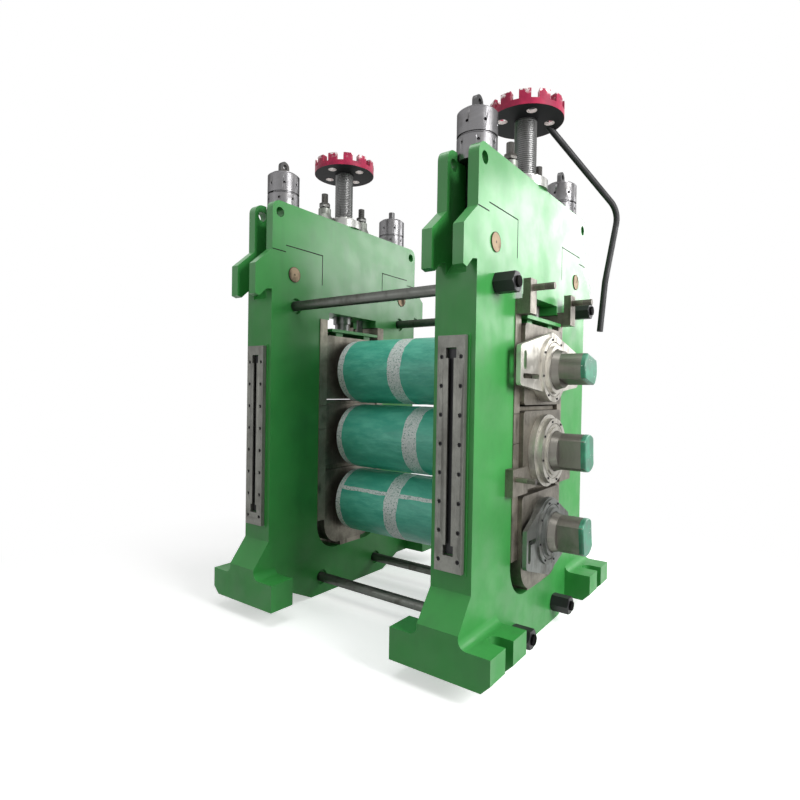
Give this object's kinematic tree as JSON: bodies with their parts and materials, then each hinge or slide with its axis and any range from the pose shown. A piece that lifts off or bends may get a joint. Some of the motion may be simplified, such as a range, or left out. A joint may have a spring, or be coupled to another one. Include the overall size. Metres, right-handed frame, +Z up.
{
  "type": "three-high rolling mill stand",
  "caption": "Closed-frame rolling mill stand with clamped caps, film-wrapped rolls in chocks, and hand wheels on screws that set the top roll.",
  "frame": {"origin": "middle of the stand on the level of the undersides of the housings' lower beams", "axes": "+X along the rolls towards the drive side, +Y along the pass line towards the rear, +Z up"},
  "size_m": [2.25, 1.786, 3.08],
  "materials": {
    "housing_green": "gloss enamel",
    "machined_steel": "machined, oiled",
    "black_steel": "blackened",
    "wheel_red": "paint with bare edges",
    "packing_film": "creased film"
  },
  "bodies": {
    "frame": {"clamp_nuts": "machined_steel", "cover_straps": "machined_steel", "far_bottom_chock": "machined_steel", "far_bottom_cover": "machined_steel", "far_cap": "housing_green", "far_housing": "housing_green", "far_middle_chock": "machined_steel", "far_middle_cover": "machined_steel", "far_rest_rails": "machined_steel", "far_screw_nut": "machined_steel", "far_window_liners": "machined_steel", "hinge_pins": "machined_steel", "keeper_plates": "machined_steel", "lower_tie_rods": "machined_steel", "near_bottom_chock": "machined_steel", "near_bottom_cover": "machined_steel", "near_cap": "housing_green", "near_housing": "housing_green", "near_middle_chock": "machined_steel", "near_middle_cover": "machined_steel", "near_rest_rails": "machined_steel", "near_screw_nut": "machined_steel", "near_window_liners": "machined_steel", "spring_cups": "machined_steel", "swing_bolts": "machined_steel", "tie_nuts": "black_steel", "upper_tie_rods": "machined_steel"},
    "top_chock_set": {"near_top_chock": "machined_steel", "far_top_chock": "machined_steel", "near_top_cover": "machined_steel", "far_top_cover": "machined_steel", "near_balance_beam": "housing_green", "far_balance_beam": "housing_green", "balance_rods": "machined_steel"},
    "near_screw": {"near_screw": "black_steel", "near_wheel": "wheel_red", "turning_bar": "black_steel"},
    "far_screw": {"far_screw": "black_steel", "far_wheel": "wheel_red"},
    "top_roll": {"top_roll": "machined_steel", "top_roll_wrap": "packing_film"},
    "middle_roll": {"middle_roll": "machined_steel", "middle_roll_wrap": "packing_film"},
    "bottom_roll": {"bottom_roll": "machined_steel", "bottom_roll_wrap": "packing_film"}
  },
  "joints": [
    {"name": "near_screw_turn", "type": "hinge", "parent": "top_chock_set", "child": "near_screw", "pos_m": [0.7135, 0, 1.836], "axis": [0, 0, 1], "range_deg": [-125, 3]},
    {"name": "far_screw_turn", "type": "hinge", "parent": "top_chock_set", "child": "far_screw", "pos_m": [-0.7135, 0, 1.836], "axis": [0, 0, 1], "range_deg": [-125, 3]},
    {"name": "top_chock_lift", "type": "slide", "parent": "frame", "child": "top_chock_set", "axis": [0, 0, 1], "range_m": [-0.0043, 0.0002]},
    {"name": "top_roll_spin", "type": "hinge", "parent": "top_chock_set", "child": "top_roll", "pos_m": [0, 0, 1.548], "axis": [1, 0, 0], "continuous": true},
    {"name": "middle_roll_spin", "type": "hinge", "parent": "frame", "child": "middle_roll", "pos_m": [0, 0, 1.088], "axis": [1, 0, 0], "continuous": true},
    {"name": "bottom_roll_spin", "type": "hinge", "parent": "frame", "child": "bottom_roll", "pos_m": [0, 0, 0.628], "axis": [1, 0, 0], "continuous": true}
  ],
  "couplings": [
    {"joint": "far_screw_turn", "follows": "near_screw_turn", "ratio": 1},
    {"joint": "top_chock_lift", "follows": "near_screw_turn", "m_per_rad": 0.0019099}
  ]
}
